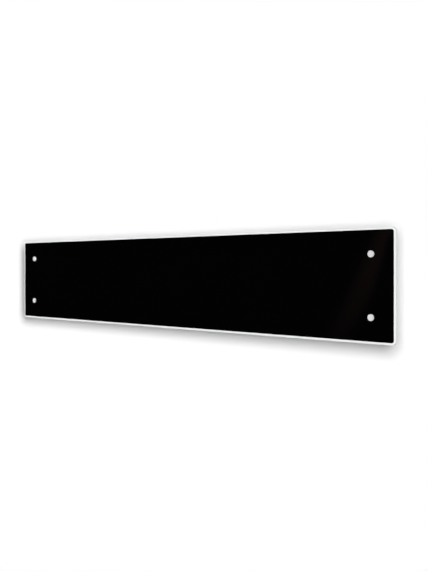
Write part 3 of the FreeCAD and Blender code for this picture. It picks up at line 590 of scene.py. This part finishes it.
def glass_panel():
    """The glass with round corners, a margin that falls away, broken edges and four holes."""
    low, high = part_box("front_glass")
    low = Vector((low.x, GLASS_FRONT + MARGIN_FALL, low.z))
    bpy.ops.object.select_all(action="DESELECT")
    bpy.ops.mesh.primitive_cube_add(size=1, location=(low + high) / 2, scale=high - low)
    panel = settled("glass_panel")
    bpy.ops.object.mode_set(mode="EDIT")
    pick("EDGE", lambda edge: abs(run(edge).y) > GLASS_RUN)
    bpy.ops.mesh.bevel(offset=CORNER_RADIUS, segments=CORNER_STEPS, affect="EDGES")
    pick("FACE", lambda face: face.normal.y < -FACING)
    bpy.ops.mesh.inset(thickness=MARGIN_WIDTH)
    bpy.ops.transform.translate(value=(0, -MARGIN_FALL, 0))
    for y in (low.y, high.y):
        pick("EDGE", lambda edge: lies_at(edge, y))
        bpy.ops.mesh.bevel(offset=GLASS_EDGE, segments=GLASS_EDGE_STEPS, affect="EDGES")
    bpy.ops.mesh.select_all(action="SELECT")
    bpy.ops.mesh.remove_doubles(threshold=TOUCH)
    bpy.ops.mesh.normals_make_consistent(inside=False)
    bpy.ops.object.mode_set(mode="OBJECT")
    depth = (low.y + high.y) / 2
    cut_away(panel, [round_bar(HOLE_SIDES, HOLE_RADIUS, CUTTER_LENGTH, (x, depth, z), "hole_cutter")
                     for x, z in corner_places()])
    for finish in (black_print(), ground_margin(), polished_edge(), back_enamel()):
        panel.data.materials.append(finish)
    for face in panel.data.polygons:
        if face.normal.y < -SQUARE and face.center.y < GLASS_FRONT + PRINT_DEPTH:
            face.material_index = 0
        elif face.normal.y < -FACING:
            face.material_index = 1
        else:
            face.material_index = 3 if face.normal.y > SQUARE else 2
    soften(panel, degrees=25)
    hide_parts("front_glass")
    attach(panel, "heater")


def cap_bolts(finish):
    """The four caps with eased rims, dished tops and shanks."""
    low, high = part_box("cap_bolts")
    head = GLASS_FRONT - low.y
    caps = []
    for x, z in corner_places():
        caps.append(round_bar(CAP_SIDES, CAP_RADIUS, head, (x, GLASS_FRONT - head / 2, z), "cap"))
        bpy.ops.object.mode_set(mode="EDIT")
        pick("EDGE", lambda edge: lies_at(edge, low.y))
        bpy.ops.mesh.bevel(offset=CAP_EDGE, segments=CAP_EDGE_STEPS, affect="EDGES")
        pick("FACE", lambda face: face.normal.y < -SQUARE)
        for width, sink in CAP_RINGS:
            bpy.ops.mesh.inset(thickness=width)
            bpy.ops.transform.translate(value=(0, sink, 0))
        pick("FACE", lambda face: face.normal.y > SQUARE)
        bpy.ops.mesh.inset(thickness=CAP_RADIUS - SHANK_RADIUS)
        bpy.ops.mesh.extrude_region_move(TRANSFORM_OT_translate={"value": (0, high.y - GLASS_FRONT, 0)})
        bpy.ops.mesh.select_all(action="SELECT")
        bpy.ops.mesh.normals_make_consistent(inside=False)
        bpy.ops.object.mode_set(mode="OBJECT")
    take_up(*reversed(caps))
    bpy.ops.object.join()
    caps = bpy.context.object
    caps.name = "cap_bolts_spun"
    caps.data.materials.append(finish)
    soften(caps, degrees=30)
    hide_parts("cap_bolts")
    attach(caps, "heater")


def copied(node):
    """A whole copy of a node's solid, which stands for the node."""
    solid = nodes[node]
    piece = bpy.data.objects.new(node + "_eased", solid.data.copy())
    bpy.context.scene.collection.objects.link(piece)
    take_up(piece)
    bpy.ops.mesh.customdata_custom_splitnormals_clear()
    bpy.ops.object.mode_set(mode="EDIT")
    bpy.ops.mesh.select_mode(type="FACE")
    bpy.ops.mesh.select_all(action="SELECT")
    bpy.ops.mesh.remove_doubles(threshold=TOUCH)
    bpy.ops.object.mode_set(mode="OBJECT")
    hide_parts(node)
    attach(piece, solid["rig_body"])
    return piece


def eased(node, width, steps):
    """A solid with its sharp edges broken."""
    piece = copied(node)
    merge_flat_faces()
    worked(piece, "BEVEL", {"width": width, "segments": steps, "limit_method": "ANGLE",
                            "angle_limit": EASED_ANGLE, "use_clamp_overlap": False, "loop_slide": False})
    merge_flat_faces()
    soften(piece, degrees=40)


def folded_casing():
    """The rear casing with the bend radius of its long folds."""
    piece = copied("rear_casing")
    bpy.ops.object.mode_set(mode="EDIT")
    pick("EDGE", lambda edge: abs(run(edge).x) > FOLD_SHORTEST and edge.calc_face_angle(0) > FOLD_FLATTEST)
    bpy.ops.mesh.bevel(offset=FOLD_SIZE, segments=FOLD_STEPS, affect="EDGES", clamp_overlap=True)
    bpy.ops.object.mode_set(mode="OBJECT")
    soften(piece, degrees=30)


# Finishes by material slot: name, colour, worn colour, roughness, grains per metre and their depth
MOULDINGS = {
    "clear_nylon": ("natural nylon", (0.72, 0.70, 0.63, 1), (0.62, 0.60, 0.53, 1), 0.40, 900.0, 0.00002),
    "black_rubber": ("silicone rubber", grey(0.018), grey(0.032), 0.60, 1200.0, 0.00003),
    "white_ceramic": ("steatite ceramic", (0.80, 0.77, 0.70, 1), (0.72, 0.69, 0.61, 1), 0.48, 1500.0, 0.00002),
    "brown_lead": ("brown lead", (0.11, 0.045, 0.020, 1), (0.15, 0.065, 0.030, 1), 0.42, 700.0, 0.00002),
    "blue_lead": ("blue lead", (0.020, 0.070, 0.300, 1), (0.030, 0.100, 0.360, 1), 0.42, 700.0, 0.00002),
    "black_plastic": ("black moulded plastic", grey(0.016), grey(0.030), 0.44, 2200.0, 0.00003),
    "component_plastic": ("component case", (0.020, 0.035, 0.110, 1), (0.035, 0.050, 0.130, 1), 0.32, 1300.0,
                          0.00002),
    "grey_terminal": ("grey terminal", (0.46, 0.46, 0.42, 1), (0.38, 0.38, 0.35, 1), 0.46, 1500.0, 0.00002),
}
# Name, colour, worn colour and crystals per metre
PLATED_SHEETS = {
    "zinc_steel": ("zinc plated sheet", (0.72, 0.74, 0.76, 1), (0.50, 0.52, 0.55, 1), 320.0),
    "fastener_steel": ("bright plated screws", (0.74, 0.74, 0.72, 1), (0.55, 0.55, 0.52, 1), 900.0),
}
# Name, cool tone, warm tone and roughness
TONED_STEELS = {
    "spring_steel": ("blued spring steel", (0.16, 0.19, 0.27, 1), (0.28, 0.28, 0.30, 1), 0.30),
    "element_steel": ("heat toned steel", (0.36, 0.33, 0.31, 1), (0.42, 0.31, 0.20, 1), 0.38),
}
finishes = {
    "satin_steel": satin_steel(),
    "plain_aluminium": mill_aluminium(),
    "casing_paint": powder_coat(),
    "earth_lead": striped_lead(),
    "button_plastic": marked_buttons(),
    "rocker_plastic": marked_rocker(),
    "display_window": smoked_window(),
    "circuit_board": circuit_board(),
}
finishes.update({slot: moulded(*values).material for slot, values in MOULDINGS.items()})
finishes.update({slot: plated_sheet(*values) for slot, values in PLATED_SHEETS.items()})
finishes.update({slot: toned_steel(*values) for slot, values in TONED_STEELS.items()})
for node, slot in slots.items():
    if slot in finishes:
        nodes[node].material_slots[0].material = finishes[slot]

glass_panel()
cap_bolts(finishes["satin_steel"])
for node, (width, steps) in EASED_EDGES.items():
    eased(node, width, steps)
folded_casing()


# Studio

SHEET_SQUARES = 8
# Soft lights: place, target, size and power in watts
SOFT_LIGHTS = {
    "top": ((0.0, -0.40, 2.2), (0, -0.05, 0), (2.6, 0.8), 7),
    "low": ((0.0, -0.60, -2.0), (0, -0.05, 0), (2.6, 0.8), 7),
    "left front": ((-2.6, -0.70, 0.3), (-0.3, -0.09, 0), (0.4, 1.0), 3.5),
    "left": ((-2.6, 0.9, 0.6), (0, -0.05, 0), (0.9, 1.4), 36),
    "right": ((2.6, 0.9, 0.6), (0, -0.05, 0), (0.9, 1.4), 36),
    "rear": ((0.4, 2.4, 1.6), (0, 0, 0), (2.6, 1.6), 46),
}
# A faint warm streak for the glass to mirror: its lean and its place across the room
STREAK_LEAN = 0.41
STREAK_X = -0.438
STREAK_COLOUR = (0.085, 0.048, 0.044, 1)


def pale_sheet(name, centre, size, rotation, tone, glow):
    """A flat pale sheet, seen from its front side only, that throws no light back on the object."""
    bpy.ops.object.select_all(action="DESELECT")
    bpy.ops.mesh.primitive_grid_add(x_subdivisions=SHEET_SQUARES, y_subdivisions=SHEET_SQUARES, size=1,
                                    location=centre, rotation=rotation)
    sheet = settled(name)
    bpy.ops.object.mode_set(mode="EDIT")
    bpy.ops.mesh.select_all(action="SELECT")
    bpy.ops.transform.resize(value=size, center_override=centre)
    bpy.ops.object.mode_set(mode="OBJECT")
    finish = Finish("pale " + name, {"Base Color": grey(tone), "Roughness": 0.9, "Specular IOR Level": 0.0,
                                     "Emission Color": grey(1.0), "Emission Strength": glow})
    rear = finish.add("ShaderNodeNewGeometry", {}, {}, "Backfacing")
    hidden = rear.largest(finish.ray("Is Shadow Ray")).largest(finish.ray("Is Diffuse Ray"))
    clear = finish.add("ShaderNodeBsdfTransparent", {}, {})
    pale = Signal(finish, finish.shader.outputs[0])
    shown = finish.add("ShaderNodeMixShader", {}, {0: hidden, 1: pale, 2: clear})
    finish.link(shown, "Material Output", "Surface")
    sheet.data.materials.append(finish.material)
    return sheet


def surroundings():
    """White past the wall, a low fill, and a room that is dark at eye level for the glass to mirror."""
    world = bpy.data.worlds.new("studio")
    bpy.context.scene.world = world
    world.use_nodes = True
    shading = Shading(world.node_tree)
    x, y, z = shading.split(shading.add("ShaderNodeTexCoord", {}, {}, "Generated"))
    bright = shading.ease(y, low=-0.25, high=0.15).largest(shading.ease(abs(z), low=0.20, high=0.45))
    beside = shading.ease(abs(x - z * STREAK_LEAN - STREAK_X), low=0.002, high=0.026)
    streak = (1 - beside) * shading.ease(z, low=-0.20, high=0.06) * (y < 0)
    room = shading.mix(streak, grey(0.002), STREAK_COLOUR)
    mirrored = shading.mix(bright, room, shading.mix(z > 0, grey(0.45), grey(0.95)))
    unseen = shading.mix(shading.ray("Is Glossy Ray"), grey(0.012), mirrored)
    shading.link(shading.mix(shading.ray("Is Camera Ray"), unseen, grey(1.0)), "Background", "Color")


def lamp(name, shape, place, target, power):
    light = bpy.data.lights.new(name, "AREA")
    light.shape = shape
    light.energy = power
    holder = bpy.data.objects.new(name, light)
    holder.location = place
    holder.rotation_euler = (Vector(target) - Vector(place)).to_track_quat("-Z", "Y").to_euler()
    holder.visible_camera = False
    bpy.context.scene.collection.objects.link(holder)
    return holder


def all_but(left_out):
    """A collection that links a light to everything but one object."""
    collection = bpy.data.collections.new("all but " + left_out.name)
    collection.objects.link(left_out)
    collection.collection_objects[0].light_linking.link_state = "EXCLUDE"
    return collection


def soft_light(name, place, target, size, power, reaches):
    """A light that shows the casing and doesn't lighten the wall by way of it."""
    holder = lamp(name, "RECTANGLE", place, target, power)
    holder.data.size, holder.data.size_y = size
    holder.data.cycles.max_bounces = 0
    holder.light_linking.receiver_collection = reaches


def even_light(name, place, diameter, power):
    """A round light that faces the wall, stronger with distance so that it lights the wall evenly."""
    holder = lamp(name, "DISK", place, (place[0], 0, place[2]), power)
    holder.visible_glossy = False
    holder.data.size = diameter
    holder.data.use_nodes = True
    shading = Shading(holder.data.node_tree)
    distance = shading.ray("Ray Length")
    steady = shading.add("ShaderNodeLightFalloff", {}, {"Strength": 1.0}, "Constant")
    shading.link(steady * distance * distance, "Emission", "Strength")


wall = pale_sheet("wall", centre=(0, 0.0005, 0.65), size=(7.0, 1.0, 3.6), rotation=(math.pi / 2, 0, 0),
                  tone=0.88, glow=0.0)
pale_sheet("floor", centre=(0, 0, -1.15), size=(9.0, 7.0, 1.0), rotation=(0, 0, 0), tone=0.05, glow=0.86)
surroundings()
even_light("key", place=(1.11, -1.18, 0.141), diameter=0.625, power=7.68)
beside_wall = all_but(wall)
for name, values in SOFT_LIGHTS.items():
    soft_light(name, *values, beside_wall)

camera = bpy.data.objects.new("camera", bpy.data.cameras.new("camera"))
camera.location = (1.094, -1.253, 0.0335)
camera.rotation_euler = (math.pi / 2, 0, math.radians(39.31))
camera.data.lens = 42.13
camera.data.shift_y = -0.0307
bpy.context.scene.collection.objects.link(camera)
bpy.context.scene.camera = camera
bpy.context.scene.view_settings.view_transform = "Standard"
